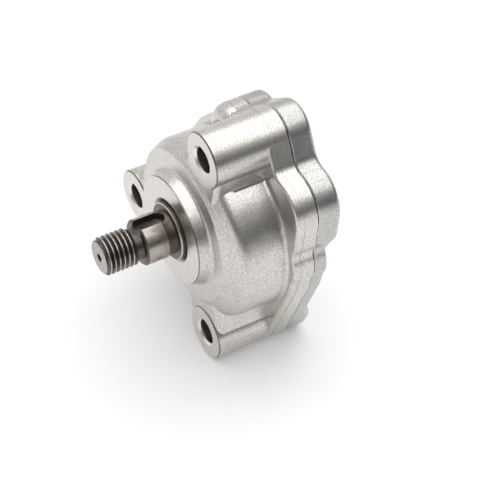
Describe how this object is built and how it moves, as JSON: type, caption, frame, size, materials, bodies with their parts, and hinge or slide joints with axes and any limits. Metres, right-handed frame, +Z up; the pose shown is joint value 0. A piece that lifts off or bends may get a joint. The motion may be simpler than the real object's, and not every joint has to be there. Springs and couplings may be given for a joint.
{
  "type": "engine oil pump",
  "caption": "Rotor oil pump for a small engine: cast aluminium body and cover with mounting columns, keyed and threaded drive shaft, inner and outer rotor.",
  "frame": {"origin": "on the shaft axis, in the cover's rear mounting face", "axes": "+Y out of the rear mounting face, so the shaft's threaded end points to -Y; +Z up, as the pump stands in the picture; +X to the right seen from the shaft end"},
  "size_m": [0.0638, 0.05, 0.0712],
  "materials": {
    "cast_body": "satin",
    "cast_cover": "satin",
    "shaft_steel": "satin",
    "sintered_iron": "satin",
    "pin_steel": "satin",
    "screw_steel": "satin"
  },
  "bodies": {
    "housing": {"pump_body": "cast_body", "rear_cover": "cast_cover", "dowel_upper": "pin_steel", "dowel_lower": "pin_steel", "cover_screw_upper": "screw_steel", "cover_screw_right": "screw_steel", "cover_screw_lower": "screw_steel"},
    "shaft_assembly": {"drive_shaft": "shaft_steel", "inner_rotor": "sintered_iron", "rotor_drive_pin": "pin_steel"},
    "outer_rotor_body": {"outer_rotor": "sintered_iron"}
  },
  "joints": [
    {"name": "shaft_spin", "type": "hinge", "parent": "housing", "child": "shaft_assembly", "pos_m": [0, 0, 0], "axis": [0, -1, 0], "continuous": true},
    {"name": "outer_rotor_spin", "type": "hinge", "parent": "housing", "child": "outer_rotor_body", "pos_m": [0.00275, 0, 0], "axis": [0, -1, 0], "continuous": true}
  ],
  "couplings": [
    {"joint": "outer_rotor_spin", "follows": "shaft_spin", "ratio": 0.8}
  ]
}
